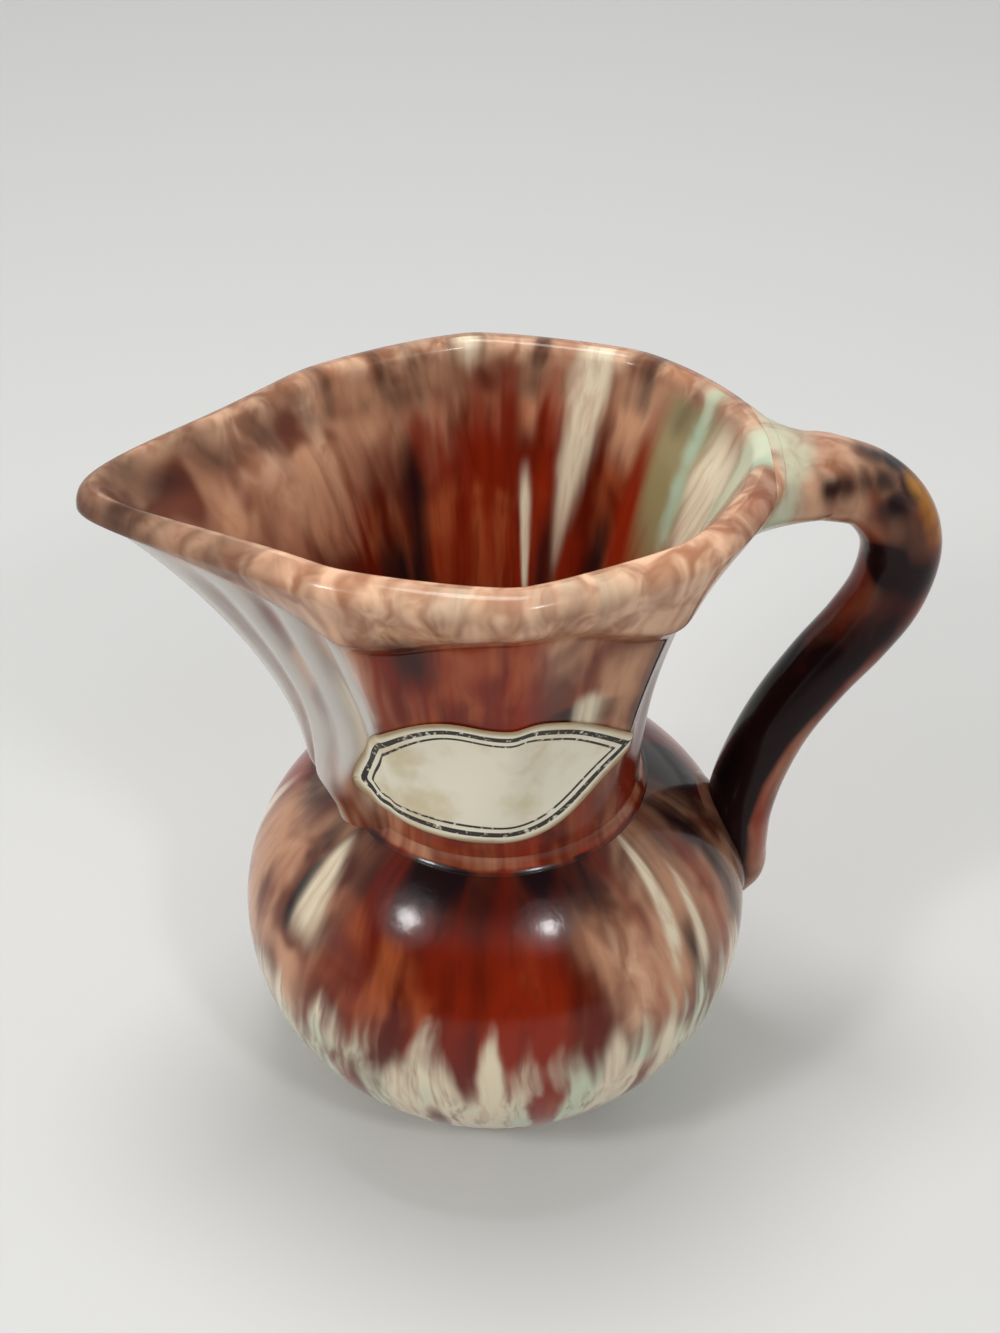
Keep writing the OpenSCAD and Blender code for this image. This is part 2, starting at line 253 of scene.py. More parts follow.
bowl = loft("round_bowl", bowl_columns, len(profile) - 1, bowl_shape)
angle, radius, z = around(bowl)
# Dark pools on the shoulder below the neck: dark glaze pooled there, with painted shade under the neck.
pools_and_shade = [(245, 15, 37, 52, 0), (279, 11, 38, 52, 0), (298, 7, 41, 50, 0), (205, 2.5, 30, 42, 0)]
pools_and_shade += [(215, 9, 41, 50, 0), (2, 14, 33, 52, 0), (110, 20, 36, 50, 0), (160, 16, 37, 50, 0)]
shadows = [(341, 10, 10, 46, 0), (319, 8, 8, 42, 0)]
creams = [(207, 5, 30, 44, 0.5), (316, 2.2, 27, 46, -0.4), (323, 2, 24, 42, -0.3), (263, 4, 6, 32, 0)]
creams += [(291, 4, 6, 32, 0), (242, 4, 2, 29, 0), (305, 4, 4, 30, 0), (40, 6, 18, 42, 0)]
creams += [(85, 5, 16, 40, 0.1), (130, 7, 12, 38, 0), (165, 4, 16, 42, 0)]
veils = [(205, 12, 0, 60, 0), (296, 10, 22, 47, 0), (315, 14, 0, 60, 0), (185, 18, 0, 60, 0)]
veils += [(342, 12, 4, 58, 0), (60, 20, 0, 60, 0), (110, 16, 0, 60, 0)]
embers = [(276, 4, -2, 26, 0), (250, 4, -9, 22, 0), (300, 4, -9, 24, 0), (229, 5, -9, 24, 0)]
embers += [(200, 6, -9, 26, 0), (20, 8, -9, 22, 0), (70, 6, -9, 26, 0), (110, 5, -9, 22, 0)]
embers += [(150, 7, -9, 26, 0)]
bare_mean, bare_swing, bare_front, bare_soft = 19.5, 6.5, 275, 18
bare_edge = bare_mean + bare_swing * np.cos(np.radians(angle - bare_front))
bare = np.clip(0.5 + (bare_edge - z) / bare_soft, 0, 1.3) * (1 - 0.75 * runs(angle, z, embers))
# A dark band round the shoulder below the neck, of pooled glaze and painted shade, deepened at the front by
# a painted dark reflection.
shoulder = (0.50 + 0.10 * ease((40 - np.abs(angle - 268)) / 15)) * ease((z - 36) / 6)
# hollow marks the inside of the bowl, painted dark below: pooled glaze with painted shade in the hollow.
hollow = (radius < bowl_r_at(z) - 0.6 * wall) & (z > foot_recess + 0.5 * floor_t)
outer = np.where(hollow, 0.0, 1.0)
outer_dark = np.maximum(runs(angle, z, pools_and_shade), shoulder) + 0.55 * runs(angle, z, shadows)
paint(
    bowl,
    dark=np.where(hollow, 0.7, outer_dark),
    cream=0.9 * runs(angle, z, creams, -0.4) * outer,
    veil=0.95 * runs(angle, z, veils),
    lip=0.5 * runs(angle, z, [(297, 8, 18, 44, 0)]) * outer,
    bare=bare * outer * (1 - 0.42 * ease((13 - z) / 6)),
    olive=0.75 * ease((11 - z) / 6) * outer,
    clay=ease((foot_top - z) / 0.5),
)
bowl.data.materials.append(glaze("bowl_glaze"))
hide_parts("bowl")
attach(bowl, "root")


# Neck: thin glazed shell that turns from a round foot into an oval mouth with a drawn-out spout. Its flutes
# end under a rolled lip, taller at the four corners of the mouth; the spout's full flanks have fine ribs.
# The outside, the rounded crest and the inside are one closed skin, fixed to the bowl with slip.
jug_h, mouth_r, handle_side_out, flare_curve = 88.0, 24.9, 4.5, 1.65
spout_out, spout_dip, spout_round, spout_wide, spout_curve = 17.6, 1.5, 5.0, 20.0, 1.15
lip_out, lip_h, lip_arch, lip_spout_h, lip_roll, crest_pull = 1.3, 6.0, 6.4, 2.6, 3.0, 2.1
upright_share, lean_share = 0.04, 0.08
flutes, flute_d, flute_soft = 8, 2.2, 0.03
flute_start_share, flute_full_share, flute_fade_share, flute_top_share = 0.06, 0.42, 0.78, 0.32
flank_out, flank_down, flank_half, flank_edge = 4.7, 1.7, 40.0, 24.0
flank_curve, flank_fade_curve = 0.75, 2.2
flank_foot_share, flank_foot_h_share, flank_full_share = 0.5, 0.12, 0.15
rib_d, rib_at, rib_gap, rib_first, rib_last = 0.5, 16.0, 11.0, 6.0, 46.0
rib_low_share, rib_high_share = 0.05, 0.95
neck_columns, outer_rows, crest_rows, inner_rows = 400, 110, 20, 76
neck_rows = outer_rows + crest_rows + inner_rows + 1
lip_t = wall + lip_out
crest_z = jug_h - lip_t / 2
neck_h = crest_z - joint_z


def off_spout(a):
    return np.abs(a % 360 - 180)


def spout_at(a):
    return np.exp(-(np.hypot(off_spout(a), spout_round) - spout_round) / spout_wide)


def groove_at(a):
    return np.sqrt(np.sin(np.radians(a * flutes / 2)) ** 2 + flute_soft) - math.sqrt(flute_soft)


def flank_at(a):
    return ease((flank_half - off_spout(a)) / flank_edge)


def flank_foot(a, s):
    return flank_at(a) * ease(1 - s / flank_foot_h_share)


def rib_wave(a):
    return np.cos(np.radians((off_spout(a) - rib_at) * 360 / rib_gap))


def core_r(a, s):
    """Radius of the outside without its lip, s from 0 at the foot to 1 at the crest."""
    rise = np.clip(s - upright_share, 0, 1) / (1 - upright_share)
    off, flank = off_spout(a), flank_at(a)
    grow = ease((s - flute_start_share) / (flute_full_share - flute_start_share))
    fade = 1 - (1 - flute_top_share) * ease((s - flute_fade_share) / (1 - flute_fade_share))
    groove = flute_d * grow * fade * groove_at(a)
    spout = spout_out * spout_at(a) * rise ** (spout_curve + flank_curve * flank)
    swell = flank_foot_share + (1 - flank_foot_share) * ease(s / flank_full_share)
    fuller = flank_out * flank * swell * (1 - rise**flank_fade_curve)
    rib_sides = ease((off - rib_first) / 6) * ease((rib_last - off) / 8)
    rib_ends = ease((s - rib_low_share) / 0.15) * ease((rib_high_share - s) / 0.2)
    rib = rib_d / 2 * (1 - rib_wave(a)) * rib_sides * rib_ends
    back = handle_side_out * np.clip(np.cos(np.radians(a)), 0, 1) ** 3 * rise**spout_curve
    return waist_r + (mouth_r - waist_r) * rise**flare_curve + spout + back + fuller - groove - rib


def neck_z(a, s):
    return joint_z + s * neck_h - spout_dip * spout_at(a) * s**3 - flank_down * flank_foot(a, s)


def lip_band(a):
    """Height of the lip: least at the spout, most at the corners of the mouth."""
    arch = np.sin(np.radians(2 * a)) * (1 - spout_at(a))
    return lip_h + (lip_spout_h - lip_h) * spout_at(a) + lip_arch * arch**2


def neck_r(a, s):
    below = lip_t / 2 + (1 - s) * neck_h
    return core_r(a, s) + lip_out * ease((lip_band(a) + lip_roll / 2 - below) / lip_roll)


def inner_lean(a, s):
    step = 0.01
    slope = (core_r(a, s + step) - core_r(a, s - step)) / (neck_z(a, s + step) - neck_z(a, s - step))
    return np.arctan(slope) * ease(s / lean_share)


def inner_rz(a, s):
    """The inside, one wall in from the outside, which closes to a round throat inside the flanks' foot."""
    lean, foot = inner_lean(a, s), flank_foot(a, s)
    r = core_r(a, s) - wall * np.cos(lean) - flank_out * flank_foot_share * foot
    return r, neck_z(a, s) + wall * np.sin(lean) + flank_down * foot


def crest_rz(a, t):
    """The rounded crest, from upright on the outside at 0 to the slope of the inner wall at 1."""
    lean = inner_lean(a, 1.0)
    r0, z0 = neck_r(a, 1.0), neck_z(a, 1.0)
    r3, z3 = inner_rz(a, 1.0)
    z1, r2, z2 = z0 + crest_pull, r3 + crest_pull * np.sin(lean), z3 + crest_pull * np.cos(lean)
    a0, a1, a2, a3 = (1 - t) ** 3, 3 * t * (1 - t) ** 2, 3 * t**2 * (1 - t), t**3
    return (a0 + a1) * r0 + a2 * r2 + a3 * r3, a0 * z0 + a1 * z1 + a2 * z2 + a3 * z3


def neck_shape(u, v):
    a = u * 360
    row = np.rint(v * neck_rows)
    up = np.clip(row / outer_rows, 0, 1)
    over = np.clip((row - outer_rows) / crest_rows, 0, 1)
    down = np.clip((row - outer_rows - crest_rows) / inner_rows, 0, 1)
    crest_r, crest_height = crest_rz(a, over)
    inner_r, inner_z = inner_rz(a, 1 - down)
    on_crest = row > outer_rows
    inside = row > outer_rows + crest_rows
    r = np.where(inside, inner_r, np.where(on_crest, crest_r, neck_r(a, up)))
    z = np.where(inside, inner_z, np.where(on_crest, crest_height, neck_z(a, up)))
    last = row == neck_rows
    r = np.where(last, neck_r(a, 0 * a), r)
    z = np.where(last, neck_z(a, 0 * a), z)
    return r * np.cos(np.radians(a)), r * np.sin(np.radians(a)), z


neck = loft("fluted_neck", neck_columns, neck_rows, neck_shape)
angle, radius, z = around(neck)
within = radius < core_r(angle, (z - joint_z) / neck_h) - 0.6 * wall
off, off_front = off_spout(angle), np.abs(angle - 270)
inside_cream = [(53, 5, 58, 98, 0.1), (73, 2, 50, 78, -0.2), (8, 6, 56, 91, -0.3), (92, 4, 82, 98, 0)]
inside_dark = [(112, 7, 38, 90, 0.3), (62, 6, 38, 76, 0), (128, 9, 38, 76, 0), (95, 12, 38, 62, 0)]
inside_dark += [(40, 8, 38, 76, 0)]
outside_veil = [(205, 28, 20, 110, 0), (285, 8, 58, 90, 0), (308, 14, 20, 110, 0), (30, 40, 20, 110, 0)]
outside_veil += [(120, 50, 20, 110, 0)]
outside_cream = [(297, 5, 57, 70, 0), (212, 4, 40, 74, 0), (60, 4, 40, 82, 0), (150, 4, 40, 84, 0)]
# Dark runs on the outside, partly dark glaze and partly painted shade under the lip where the flutes end.
outside_dark = [(318, 7, 46, 84, 0), (294, 16, 61, 68, 0), (240, 10, 66, 84, 0)]
spout_side = np.clip(-np.cos(np.radians(angle)), 0, 1)
inner_veil = 0.5 + (z - 83.5 + 13 * spout_side) / 18 + 0.6 * runs(angle, z, [(40, 6, 72, 98, 0)])
inner_lip = ease((z - 84) / 4.5) + 0.5 * runs(angle, z, [(158, 8, 64, 100, 0), (138, 4, 66, 100, 0.2)])
# The lip's tan is a little fuller toward the crest, partly a painted highlight.
outer_lip = ease((lip_band(angle) + 3 - jug_h + z) / 6) * (0.85 + 0.15 * ease((z - 83) / 3))
# Painted reflection: the pale reflection of the room on the spout's flanks, painted into the colour; it
# widens upwards, lies on the ribs and is weaker at the back.
reflection_edge = 25 + 25 * ease((z - joint_z) / 22)
flank_reflection = np.where(angle > 180, ease((reflection_edge - off) / 10), 0.5 * ease((reflection_edge - off) / 24))
flank_reflection = flank_reflection * ease((jug_h - lip_band(angle) + 1 - z) / 5) * (0.72 + 0.2 * rib_wave(angle))
# Brown on the rim, darker away from the front and at the spout: brown glaze, with painted shade away from
# the front.
brown_rim_and_shade = ease((z - 80) / 4) * (0.40 * ease((off_front - 38) / 30) + 0.12 * spout_at(angle))
# Painted highlight: a cream line along the crest at the front.
crest_highlight = 0.30 * ease((z - 84) / 3) * ease((45 - off_front) / 20)
outer_cream_and_highlight = np.maximum(0.85 * runs(angle, z, outside_cream), crest_highlight)
inner_mint = 0.6 * runs(angle, z, [(24, 3, 58, 98, -0.5)])
paint(
    neck,
    cream=np.where(within, runs(angle, z, inside_cream, 0.5), outer_cream_and_highlight),
    veil=np.where(within, np.clip(inner_veil, 0, 1), 0.8 * runs(angle, z, outside_veil)),
    dark=0.6 * np.where(within, runs(angle, z, inside_dark), runs(angle, z, outside_dark)) + brown_rim_and_shade,
    # Pale painted reflection on the outside of the spout's flanks.
    frost=np.where(within, 0, flank_reflection),
    # The lip's tan is fuller at the front than at the sides: lip glaze with a painted highlight at the
    # front.
    lip=np.where(within, inner_lip, outer_lip * (1 - 0.4 * ease((off_front - 30) / 35))),
    olive=np.where(within, runs(angle, z, [(28, 13, 60, 104, -0.4)]), 0),
    mint=runs(angle, z, [(-2, 7, 66, 104, -0.2)]) + np.where(within, inner_mint, 0),
)
neck.data.materials.append(glaze("neck_glaze", shine=0.22))
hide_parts("neck")
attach(neck, "root")


# Seam: the fillet of slip in the crease between neck and bowl, under the same glaze.
# A ring with a hollow round face that meets the neck above and the shoulder below without an edge.
seam_r, seam_proud, seam_columns, face_rows, back_rows = 2.2, 0.03, 288, 12, 3
seam_rows = face_rows + back_rows + 1
# The round face touches the upright foot of the neck and the crown of the bowl; tilt searches the crown.
tilt = np.linspace(0.3, 1.4, 400)
steep = np.arctan2(np.sin(tilt) / crown_h, np.cos(tilt) / bowl_r)
touch = np.interp(-waist_r - seam_r, -bowl_r * np.cos(tilt) - seam_r * np.cos(steep), steep)
seam_z = np.interp(touch, steep, belly_z + crown_h * np.sin(tilt) + seam_r * np.sin(steep))


def seam_shape(u, v):
    row = np.rint(v * seam_rows)
    turn = np.pi + touch * np.clip(row / face_rows, 0, 1)
    back = np.clip((row - face_rows) / back_rows, 0, 1)
    r = waist_r + seam_r + seam_r * np.cos(turn) + seam_proud
    z = seam_z + seam_r * np.sin(turn) + seam_proud
    r = np.where(row == seam_rows, waist_r, r * (1 - back) + waist_r * back)
    z = np.where(row == seam_rows, seam_z, z * (1 - back) + joint_z * back)
    return r * np.cos(2 * np.pi * u), r * np.sin(2 * np.pi * u), z


neck_slip_seam = loft("shoulder_seam", seam_columns, seam_rows, seam_shape)
angle, radius, z = around(neck_slip_seam)
# The lower part of the seam's face is dark like the pools below it, dark glaze with painted shade in the
# crease; its upper part takes the neck's mauve.
low = ease((radius - waist_r - 0.35) / 0.5)
paint(neck_slip_seam, dark=low * np.maximum(runs(angle, z, pools_and_shade), 0.5), veil=0.45 * (1 - low))
neck_slip_seam.data.materials.append(glaze("seam_glaze"))
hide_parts("neck_slip_seam")
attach(neck_slip_seam, "root")


# Handle: pulled ear of clay, pressed on under the lip and on the belly, glazed with the jug.
# An oval section is swept along a smooth path; its root flares on the neck and its tail follows the bowl.
# Each row of shares gives a point of the path, out from the bowl and up, and its thickness and width.
handle_t, handle_w, handle_out, root_z, tail_z, tail_tip = 8.4, 9.6, 14.6, 82.4, 21.6, 1.2
handle_shares = np.array(
    [
        (0.31, 1.003, 1.05, 1.16),
        (0.66, 0.973, 1.02, 1.00),
        (0.90, 0.913, 1.05, 0.98),
        (1.00, 0.836, 1.06, 0.98),
        (0.94, 0.740, 1.02, 0.98),
        (0.755, 0.654, 0.98, 0.97),
        (0.49, 0.563, 0.95, 0.96),
        (0.235, 0.457, 0.92, 0.96),
        (0.055, 0.343, 0.92, 1.00),
        (-0.04, 0.236, 0.92, 1.06),
        (-0.02, 0.137, 0.80, 1.00),
        (0.01, 0.064, 0.72, 0.80),
        (0.0, 0.0, 0.34, 0.40),
    ]
)
knots = handle_shares * (handle_out, root_z - tail_z, handle_t / 2, handle_w / 2) + (bowl_r, tail_z, 0, 0)
knots = np.concatenate([[2 * knots[0] - knots[1]], knots, [2 * knots[-1] - knots[-2]]])
root_wide, root_deep, root_sink, root_rise, crest_reach = 5.0, 2.2, 0.3, 0.25, 6.4
tail_gap, tip_gap, path_step = 0.25, 0.3, 0.002
cap_rows, root_rows, free_rows, handle_sides = 4, 20, 168, 64


def along(at):
    """Catmull-Rom curve through the knots: x, z, half thickness and half width at 0 to 1."""
    step = np.clip(at, 0, 1) * (len(knots) - 3)
    i = np.minimum(step.astype(int), len(knots) - 4)
    t = (step - i)[:, None]
    p0, p1, p2, p3 = (knots[i + k] for k in range(4))
    square = 2 * p0 - 5 * p1 + 4 * p2 - p3
    cube = 3 * p1 - p0 - 3 * p2 + p3
    return 0.5 * (2 * p1 + (p2 - p0) * t + square * t**2 + cube * t**3)


def on_neck(y, height):
    """Point of the neck's skin at y, where height goes up the outside and then on over the crest."""
    a = np.zeros_like(y)
    share = np.clip((height - joint_z) / neck_h, 0, 1)
    for _ in range(6):
        a = np.degrees(np.arcsin(np.clip(y / neck_r(a, share), -1, 1)))
    crest_r, crest_height = crest_rz(a, np.clip((height - crest_z) / crest_reach, 0, 1))
    r = np.where(height > crest_z, crest_r, neck_r(a, share))
    z = np.where(height > crest_z, crest_height, neck_z(a, share))
    return np.sqrt(np.clip(r**2 - y**2, 0, None)), z


def on_root(turn, share, lift, proud):
    """Point of the flared root: share of its outline, lift from 0 flat on the neck to a quarter turn."""
    start = along(np.zeros(1))[0]
    wide = (start[3] + root_wide * (1 - np.sin(lift))) * share
    deep = (start[2] + root_deep * (1 - np.sin(lift))) * share
    y, height = wide * np.sin(turn), start[1] + deep * np.cos(turn)
    x, z = on_neck(y, height)
    reach = 1 - np.cos(lift)
    return (x + proud) * (1 - reach) + start[0] * reach, y, z * (1 - reach) + height * reach


def handle_shape(u, v):
    turn = 2 * np.pi * u
    row = np.rint(v * (root_rows + free_rows))
    share = np.clip(row / cap_rows, 0, 1)
    lift = np.pi / 2 * np.clip((row - cap_rows) / (root_rows - cap_rows), 0, 1)
    root = on_root(turn, share, lift, root_rise * share - root_sink)
    at = np.clip((row - root_rows) / free_rows, 0, 1)
    here, ahead, behind = along(at), along(at + path_step), along(at - path_step)
    dx, dz = (ahead - behind)[:, :2].T
    length = np.hypot(dx, dz)
    across = here[:, 2] * np.cos(turn)
    x = here[:, 0] - dz / length * across
    z = here[:, 1] + dx / length * across
    y = here[:, 3] * np.sin(turn)
    lowest = bowl_r_at(z) + tail_gap
    push = np.where((z < joint_z) & (np.hypot(x, y) < lowest), lowest / np.hypot(x, y), 1)
    x, y = x * push, y * push
    tip = row == root_rows + free_rows
    free = np.where(tip, bowl_r + tip_gap, x), np.where(tip, 0, y), np.where(tip, tail_z - tail_tip, z)
    return [np.where(row <= root_rows, a, b) for a, b in zip(root, free)]


def root_mint(x, y, z):
    """How far the pale green of the rim has run out over the root."""
    start = along(np.zeros(1))[0]
    rim = np.hypot(y / (start[3] + root_wide), (z - start[1]) / (start[2] + root_deep))
    along_root = ease((34.4 - x + 2 * ease((z - 85) / 2)) / 7)
    return 0.9 * along_root * ease((z - 77) / 5) * ease((1.06 - rim) / 0.4)


handle = loft("ear_handle", handle_sides, root_rows + free_rows, handle_shape)
x, y, z = corners(handle)
points = np.stack([x, y, z], axis=1)


def dabs(spots):
    """Strength of round dabs of glaze on the handle: (x, y, z, radius)."""
    spots = np.array(spots)
    return np.max([np.exp(-np.sum((points - s[:3]) ** 2, axis=1) / s[3] ** 2) for s in spots], axis=0)


rings = [(34.8, -5.2, 84.2, 1.5), (36.7, -4.8, 84.4, 1.8), (38.8, -4.4, 84.4, 2.0), (41, -4, 84, 2.2)]
rings += [(41.8, -4.7, 81.3, 2.2), (40.5, -1, 86.6, 2.4), (43, -0.5, 85.5, 2.4), (44.6, -2.5, 82.5, 2.0)]
rings += [(46.5, -4, 71, 2.6), (38, 4.6, 82, 2.4), (44, 4.6, 76, 2.4), (41, 3, 72, 2.0)]
# Amber dabs on the outer side of the bend: amber glaze, partly a painted highlight.
amber_and_highlight_dabs = [(45.5, -1.5, 82, 2.6), (46.7, -1.7, 80, 2.6), (47.5, -1.9, 78, 2.6), (47.8, -2, 76, 2.4)]
blot = [(41.7, -3.4, 73, 2.1)]
off = x - np.interp(z, knots[-2:4:-1, 1], knots[-2:4:-1, 0])
far_edge = np.interp(z, (30, 46, 70), (-0.4, -0.2, 1.6))
near_edge = np.interp(z, (46, 60, 70), (-12, -5, -2))
inner = ease((far_edge - off) / 2.2 + 0.5) * ease((off - near_edge) / 2.2 + 0.5)
inner = inner * np.interp(z, (24, 30, 48, 58, 74), (0, 1, 1, 0.5, 0))
streaks = 0.30 + 0.10 * ease((72 - z) / 8) * ease((z - 46) / 8) + 0.16 * ease((x - 41) / 3)
streaks = streaks - 0.10 * ease((z - 78) / 4) * ease((42 - x) / 4)
paint(
    handle,
    mint=root_mint(x, y, z),
    veil=0.30 + 0.55 * ease((z - 76) / 5) * ease((45 - x) / 4) + 0.16 * ease((52 - z) / 10),
    lip=0.55 * ease((z - 77) / 5) * ease((43 - x) / 6),
    dark=np.clip(inner + streaks + 0.50 * dabs(rings) + 1.4 * dabs(blot), 0, 1.1),
    amber=0.72 * dabs(amber_and_highlight_dabs),
)
handle.data.materials.append(glaze("handle_glaze", shine=0.18, turn_by=0, run_by=(800, 800, 240)))
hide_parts("handle")
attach(handle, "root")


# Upper handle slip: the bead of slip, thick with glaze, that draws the root of the handle into the lip.
# A flat closed ring laid round the root, half on the neck's skin and half on the root.
bead_lift, bead_spread, bead_low, bead_t, bead_columns, bead_rows = 20, 0.07, -0.03, 0.09, 128, 12


def bead_shape(u, v):
    turn, side = 2 * np.pi * u, 2 * np.pi * v
    lift = np.radians(bead_lift) * (1 + np.cos(side)) / 2
    spread = 1 + bead_spread * (1 - np.cos(side)) / 2
    return on_root(turn, spread, lift, bead_low + bead_t * np.sin(side))


upper_handle_slip = loft("root_bead", bead_columns, bead_rows, bead_shape)
x, y, z = corners(upper_handle_slip)
paint(upper_handle_slip, mint=root_mint(x, y, z), veil=0.8 + 0 * z, lip=0.55 + 0 * z)
upper_handle_slip.data.materials.append(glaze("upper_slip_glaze"))
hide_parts("upper_handle_slip")
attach(upper_handle_slip, "root")


# Lower handle slip: thin skirt of slip round the handle's tail where it is pressed on the bowl.
# A patch on the bowl's skin that is thickest under the tail and runs out to nothing at its edge.
skirt_drop, skirt_h, skirt_t, skirt_edge = 1.6, 18.5, 0.7, 0.02
skirt_tip_half, skirt_spread, skirt_end_half, skirt_end_share, skirt_grid = 2.0, 4.2, 0.1, 0.96, 48


def skirt_shape(u, v):
    up = np.clip(v / skirt_end_share, 0, 1)
    w, t = 2 * u - 1, 2 * up - 1
    z = tail_z - skirt_drop + skirt_h * up
    half = (skirt_tip_half + skirt_spread * ease(up * 2)) * np.sqrt(np.clip(1 - t**6, 0, 1))
    a = w * np.degrees((half + skirt_end_half) / bowl_r)
    r = bowl_r_at(z) + skirt_t * (1 - w**4) * np.clip(1 - t**8, 0, 1) + skirt_edge
    return r * np.cos(np.radians(a)), r * np.sin(np.radians(a)), z


lower_handle_slip = loft("tail_skirt", skirt_grid, skirt_grid, skirt_shape)
_, _, z = corners(lower_handle_slip)
paint(lower_handle_slip, dark=0.5 + 0 * z, veil=0.6 + 0 * z)
lower_handle_slip.data.materials.append(glaze("lower_slip_glaze"))
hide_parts("lower_handle_slip")
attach(lower_handle_slip, "root")


# Paper label: blank gummed label of aged cream paper with a plain printed border, stuck on the neck.
# A leaf-shaped sheet with a round left end and a pointed right one, a little lifted along its edges.
label_h, label_bottom, label_mid, label_half, label_hump = 17.6, 3.8, 262.6, 53.9, 1.2
label_gap, label_end_lift, label_edge_lift, paper_t, end_round = 0.05, 0.14, 0.06, 0.15, 0.18
left_curve, left_fall_share, left_rise_share = 3.0, 0.56, 0.06
right_curve, right_fall_share, right_rise_share, hump_at, hump_wide = 2.3, 0.36, 0.52, 0.22, 0.2
label_columns, label_rows = 200, 80
thick_line, thick_half, thin_line, thin_half = 1.3, 0.34, 2.35, 0.16
cream_paper, stained_paper = (0.80, 0.75, 0.60, 1), (0.66, 0.56, 0.37, 1)
brown_edge, black_ink = (0.36, 0.24, 0.12, 1), (0.035, 0.028, 0.022, 1)


def label_rim(w):
    """Top and bottom edge of the label, w from -1 at its left end to 1 at its right."""
    bend = np.abs(w) ** np.where(w < 0, left_curve, right_curve)
    top = joint_z + label_bottom + label_h * (1 - bend * np.where(w < 0, left_fall_share, right_fall_share))
    top = top + label_hump * np.exp(-(((w - hump_at) / hump_wide) ** 2))
    low = joint_z + label_bottom + label_h * bend * np.where(w < 0, left_rise_share, right_rise_share)
    end = np.sqrt(np.clip(1 - (np.clip(-w - (1 - end_round), 0, 1) / end_round) ** 2, 0, 1))
    return (top + low) / 2 + (top - low) / 2 * end, (top + low) / 2 - (top - low) / 2 * end


def label_shape(u, v):
    w = 2 * u - 1
    top, bottom = label_rim(w)
    z = bottom + (top - bottom) * v
    a = label_mid + label_half * w
    lift = label_end_lift * np.abs(w) ** 8 + label_edge_lift * (2 * v - 1) ** 6
    r = neck_r(a, (z - joint_z) / neck_h) + label_gap + lift
    return r * np.cos(np.radians(a)), r * np.sin(np.radians(a)), z


paper_label = loft("blank_label", label_columns, label_rows, label_shape)
angle, _, z = around(paper_label)
rim_w = np.linspace(-1, 1, 400)
rim_top, rim_bottom = label_rim(rim_w)
rim_a = np.radians(label_mid + label_half * rim_w)
rim_r = neck_r(np.degrees(rim_a), ((rim_top + rim_bottom) / 2 - joint_z) / neck_h)
steps = np.hypot(np.diff(rim_r * np.cos(rim_a)), np.diff(rim_r * np.sin(rim_a)))
length = np.concatenate([[0], np.cumsum(steps)])
rim = np.concatenate([np.stack([length, rim_top]), np.stack([length, rim_bottom])], axis=1)
across = np.interp((angle - label_mid) / label_half, rim_w, length)
paint(paper_label, inset=np.array([np.hypot(rim[0] - at, rim[1] - up).min() for at, up in zip(across, z)]))
solid = paper_label.modifiers.new("paper", "SOLIDIFY")
solid.thickness = paper_t / 1000
solid.offset = 1
bpy.ops.object.modifier_apply(modifier="paper")
paper = bpy.data.materials.new("label_paper")
paper.use_nodes = True
tree = paper.node_tree
shader = tree.nodes["Principled BSDF"]
place = add(tree, "TexCoord", {}, "Object")
inset = add(tree, "Attribute", {}, 2, attribute_name="inset")
stain = add(tree, "TexNoise", {"Vector": place, "Scale": 140, "Detail": 4})
fibre = add(tree, "TexNoise", {"Vector": place, "Scale": 1500, "Detail": 3})
tone = blend(tree, band(tree, stain, 0.45, 0.68), cream_paper, stained_paper)
worn = math_of(tree, "MULTIPLY_ADD", stain, 1.4, inset)
tone = blend(tree, band(tree, worn, 1.5, 0.7), tone, brown_edge)
thick = math_of(tree, "COMPARE", inset, thick_line, thick_half)
thin = math_of(tree, "COMPARE", inset, thin_line, thin_half)
printed = add(tree, "MapRange", {0: fibre, 1: 0.30, 2: 0.44})
ink = math_of(tree, "MULTIPLY", math_of(tree, "MAXIMUM", thick, thin), printed)
rub = add(tree, "Bump", {"Strength": 0.15, "Distance": 0.0001, "Height": fibre})
tree.links.new(blend(tree, ink, tone, black_ink), shader.inputs["Base Color"])
tree.links.new(rub, shader.inputs["Normal"])
shader.inputs["Roughness"].default_value = 0.7
paper_label.data.materials.append(paper)
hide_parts("paper_label")
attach(paper_label, "root")


# Floor: pale grey-white sheet under the jug, far wider than the view, with a dull finish.
bpy.ops.mesh.primitive_plane_add(size=6)
floor = bpy.context.object
floor.name = "floor"
sheet = bpy.data.materials.new("floor_sheet")
sheet.use_nodes = True
sheet.node_tree.nodes["Principled BSDF"].inputs["Base Color"].default_value = (0.62, 0.62, 0.61, 1)
sheet.node_tree.nodes["Principled BSDF"].inputs["Roughness"].default_value = 0.6
floor.data.materials.append(sheet)


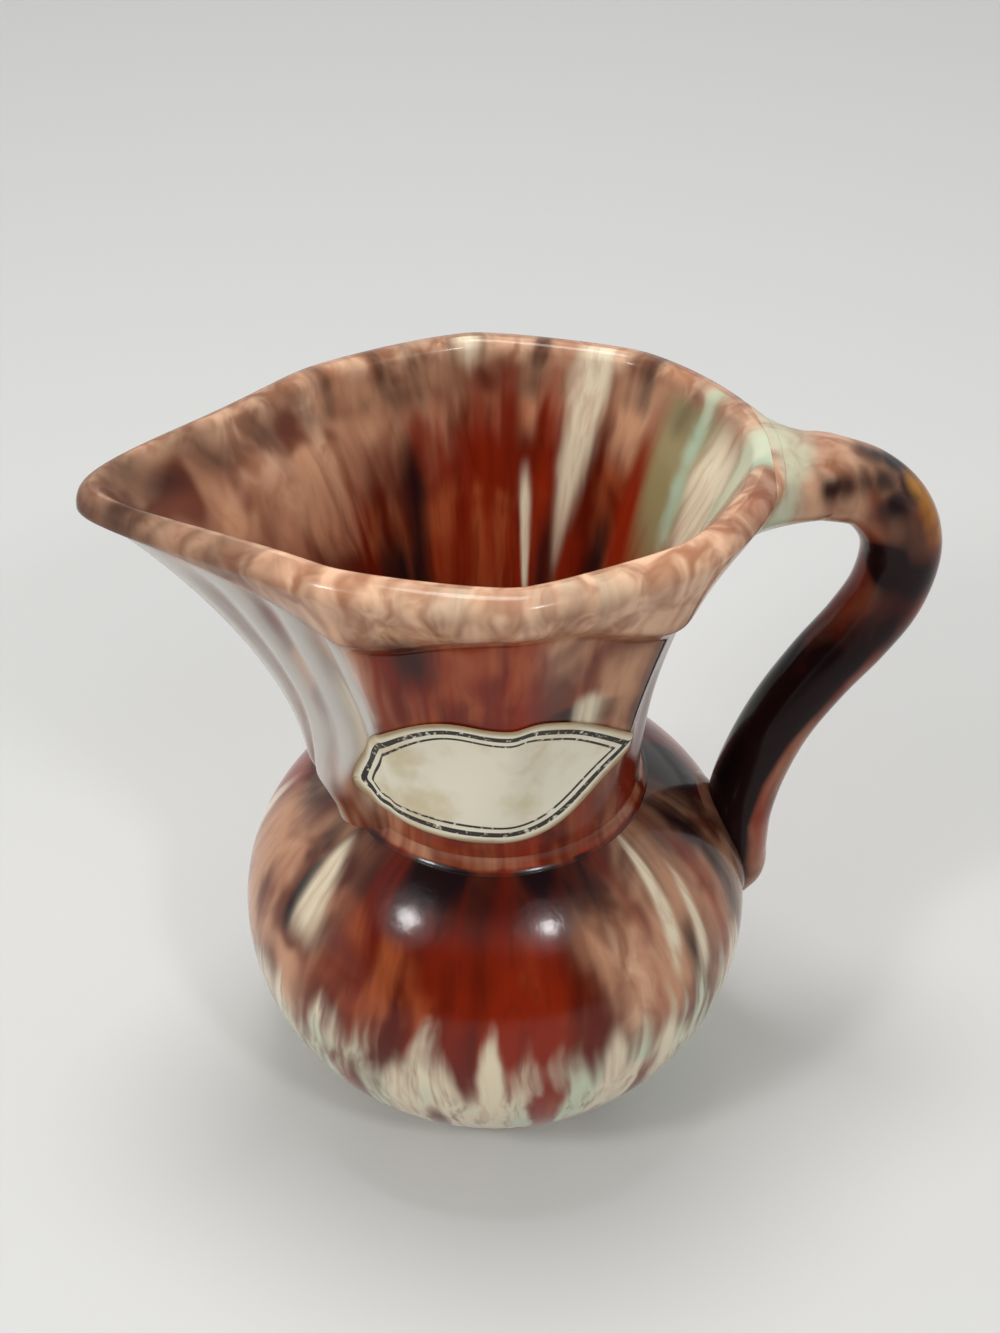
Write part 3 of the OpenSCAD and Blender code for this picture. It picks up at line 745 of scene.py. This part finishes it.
# Light: a pale room, dimmer overhead, that is dark where the viewer stands apart from a band of haze.
# Two soft windows in it show in the glaze; small lamps before them and a ceiling panel light the jug.
viewer, left_window, right_window = (-0.086, -0.815, 0.573), (-0.621, -0.392, 0.679), (0.302, -0.615, 0.729)
wall_grey, ceiling_grey = (1.02, 1.02, 1.0, 1), (0.45, 0.45, 0.44, 1)
dark_grey, haze_grey, window_core = (0.04, 0.04, 0.04, 1), (0.42, 0.42, 0.45, 1), 0.996
world = bpy.data.worlds.new("room")
bpy.context.scene.world = world
world.use_nodes = True
tree = world.node_tree
toward = add(tree, "TexCoord", {}, "Generated")
height = add(tree, "SeparateXYZ", {0: toward}, 2)
room = blend(tree, add(tree, "MapRange", {0: height, 1: 0.5, 2: 0.82}), wall_grey, ceiling_grey)
haze = math_of(tree, "MULTIPLY", band(tree, height, 0.57, 0.70), band(tree, height, 0.88, 0.74))
front = add(tree, "VectorMath", {0: toward, 1: viewer}, "Value", operation="DOT_PRODUCT")
room = blend(tree, band(tree, front, 0.35, 0.68), room, blend(tree, haze, dark_grey, haze_grey))
for window, rim, shine in ((left_window, 0.955, 2.2), (right_window, 0.965, 2.6)):
    near = add(tree, "VectorMath", {0: toward, 1: window}, "Value", operation="DOT_PRODUCT")
    room = blend(tree, band(tree, near, rim, window_core), room, (shine, shine, shine, 1))
tree.links.new(room, tree.nodes["Background"].inputs["Color"])
tree.nodes["Background"].inputs["Strength"].default_value = 0.97
for name, spot, aim, size, power in (
    ("left_lamp", (-0.322, -0.216, 0.379), (-0.012, -0.020, 0.04), 0.08, 0.65),
    ("right_lamp", (0.155, -0.330, 0.404), (0.004, -0.023, 0.04), 0.06, 0.45),
    ("ceiling_panel", (-0.02, 0.08, 0.62), (0.0, 0.0, 0.06), 0.20, 1.6),
):
    bpy.ops.object.light_add(type="AREA", location=spot)
    box = bpy.context.object
    box.name = name
    box.data.shape = "DISK"
    box.data.size = size
    box.data.energy = power
    box.rotation_euler = (Vector(spot) - Vector(aim)).to_track_quat("Z", "Y").to_euler()


# Camera: the photograph's point of view. Its small shift is in pixels of the photograph, over its height.
photo_px = 1333
view_turn = (math.radians(51.1), 0, math.radians(-6))
bpy.ops.object.camera_add(location=(-0.0183, -0.174, 0.202), rotation=view_turn)
camera = bpy.context.object
camera.data.lens = 54.0
camera.data.shift_x = 5 / photo_px
camera.data.shift_y = -11.5 / photo_px
camera.data.clip_start = 0.01
bpy.context.scene.camera = camera
bpy.context.scene.view_settings.view_transform = "Standard"
